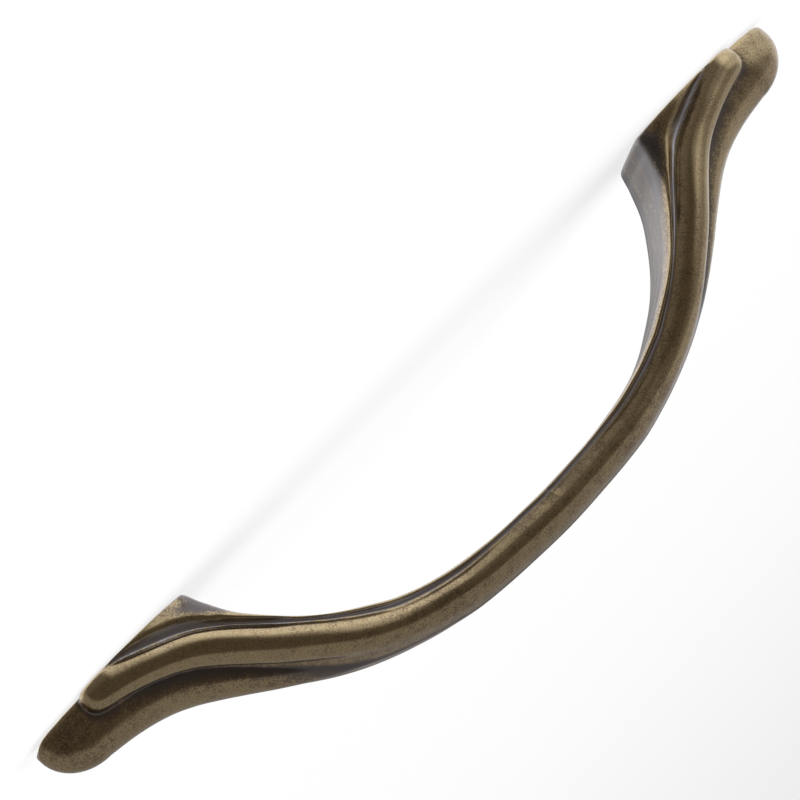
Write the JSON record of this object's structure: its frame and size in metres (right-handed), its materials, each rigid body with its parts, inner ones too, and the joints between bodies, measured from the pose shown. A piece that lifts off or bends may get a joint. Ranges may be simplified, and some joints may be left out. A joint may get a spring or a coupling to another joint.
{
  "type": "arch pull",
  "caption": "Bow-shaped furniture pull whose bar parts into strands over two flat feet, with a tapped hole in each foot.",
  "frame": {"origin": "on the plane of the cabinet front, midway between the two tapped holes", "axes": "+X along the pull, +Y across it, +Z away from the cabinet front"},
  "size_m": [0.1352, 0.0164, 0.0279],
  "materials": {
    "antique_brass": "antique brass plate, dark brown in the hollows and rubbed to gold on the ridges, lacquered"
  },
  "bodies": {
    "root": {"pull": "antique_brass"}
  },
  "joints": []
}
